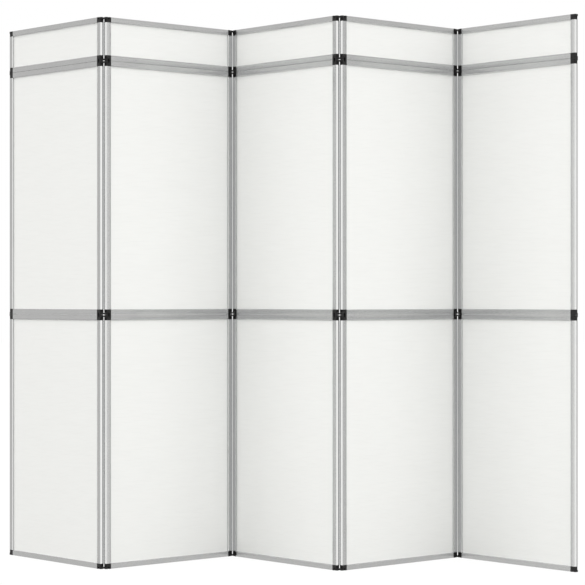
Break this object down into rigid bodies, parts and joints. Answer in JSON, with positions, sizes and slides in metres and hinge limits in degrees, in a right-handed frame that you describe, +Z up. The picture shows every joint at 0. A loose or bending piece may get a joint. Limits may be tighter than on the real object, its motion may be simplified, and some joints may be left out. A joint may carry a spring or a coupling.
{
  "type": "accordion folding partition",
  "caption": "Free-standing accordion partition of framed white panels, hinged column to column by black pin links, so that it stands as a zigzag and folds into a stack.",
  "frame": {"origin": "on the floor, under the middle of the middle column, which is the bounding box's bottom centre", "axes": "+Z up, +X along the wall's line to the right as pictured, +Y from the front of the wall to its back"},
  "size_m": [2.1386, 0.44, 2],
  "materials": {
    "frame_aluminium": "satin anodised",
    "board_white": "matte twin-wall sheet",
    "corner_plastic": "fine-grained moulding",
    "link_plastic": "fine-grained moulding",
    "pin_steel": "zinc plated"
  },
  "bodies": {
    "column_1": {"lower_frame_1": "frame_aluminium", "lower_board_1": "board_white", "lower_corners_1": "corner_plastic", "upper_frame_1": "frame_aluminium", "upper_board_1": "board_white", "upper_corners_1": "corner_plastic", "header_frame_1": "frame_aluminium", "header_board_1": "board_white", "header_corners_1": "corner_plastic", "hinge_pins_1": "pin_steel", "left_end_caps": "corner_plastic"},
    "column_2": {"lower_frame_2": "frame_aluminium", "lower_board_2": "board_white", "lower_corners_2": "corner_plastic", "upper_frame_2": "frame_aluminium", "upper_board_2": "board_white", "upper_corners_2": "corner_plastic", "header_frame_2": "frame_aluminium", "header_board_2": "board_white", "header_corners_2": "corner_plastic", "hinge_pins_2": "pin_steel"},
    "column_3": {"lower_frame_3": "frame_aluminium", "lower_board_3": "board_white", "lower_corners_3": "corner_plastic", "upper_frame_3": "frame_aluminium", "upper_board_3": "board_white", "upper_corners_3": "corner_plastic", "header_frame_3": "frame_aluminium", "header_board_3": "board_white", "header_corners_3": "corner_plastic", "hinge_pins_3": "pin_steel"},
    "column_4": {"lower_frame_4": "frame_aluminium", "lower_board_4": "board_white", "lower_corners_4": "corner_plastic", "upper_frame_4": "frame_aluminium", "upper_board_4": "board_white", "upper_corners_4": "corner_plastic", "header_frame_4": "frame_aluminium", "header_board_4": "board_white", "header_corners_4": "corner_plastic", "hinge_pins_4": "pin_steel"},
    "column_5": {"lower_frame_5": "frame_aluminium", "lower_board_5": "board_white", "lower_corners_5": "corner_plastic", "upper_frame_5": "frame_aluminium", "upper_board_5": "board_white", "upper_corners_5": "corner_plastic", "header_frame_5": "frame_aluminium", "header_board_5": "board_white", "header_corners_5": "corner_plastic", "hinge_pins_5": "pin_steel", "right_end_caps": "corner_plastic"},
    "links_1": {"hinge_links_1": "link_plastic"},
    "links_2": {"hinge_links_2": "link_plastic"},
    "links_3": {"hinge_links_3": "link_plastic"},
    "links_4": {"hinge_links_4": "link_plastic"}
  },
  "joints": [
    {"name": "link_turn_2", "type": "hinge", "parent": "column_3", "child": "links_2", "pos_m": [-0.20427, 0.21005, 1], "axis": [0, 0, -1], "range_deg": [-44.2, 45.8]},
    {"name": "fold_2", "type": "hinge", "parent": "links_2", "child": "column_2", "pos_m": [-0.22329, 0.21005, 1], "axis": [0, 0, -1], "range_deg": [-44.2, 45.8]},
    {"name": "link_turn_1", "type": "hinge", "parent": "column_2", "child": "links_1", "pos_m": [-0.63183, -0.21005, 1], "axis": [0, 0, 1], "range_deg": [-44.2, 45.8]},
    {"name": "fold_1", "type": "hinge", "parent": "links_1", "child": "column_1", "pos_m": [-0.65084, -0.21005, 1], "axis": [0, 0, 1], "range_deg": [-44.2, 45.8]},
    {"name": "link_turn_3", "type": "hinge", "parent": "column_3", "child": "links_3", "pos_m": [0.20427, -0.21005, 1], "axis": [0, 0, -1], "range_deg": [-44.2, 45.8]},
    {"name": "fold_3", "type": "hinge", "parent": "links_3", "child": "column_4", "pos_m": [0.22329, -0.21005, 1], "axis": [0, 0, -1], "range_deg": [-44.2, 45.8]},
    {"name": "link_turn_4", "type": "hinge", "parent": "column_4", "child": "links_4", "pos_m": [0.63183, 0.21005, 1], "axis": [0, 0, 1], "range_deg": [-44.2, 45.8]},
    {"name": "fold_4", "type": "hinge", "parent": "links_4", "child": "column_5", "pos_m": [0.65084, 0.21005, 1], "axis": [0, 0, 1], "range_deg": [-44.2, 45.8]}
  ]
}
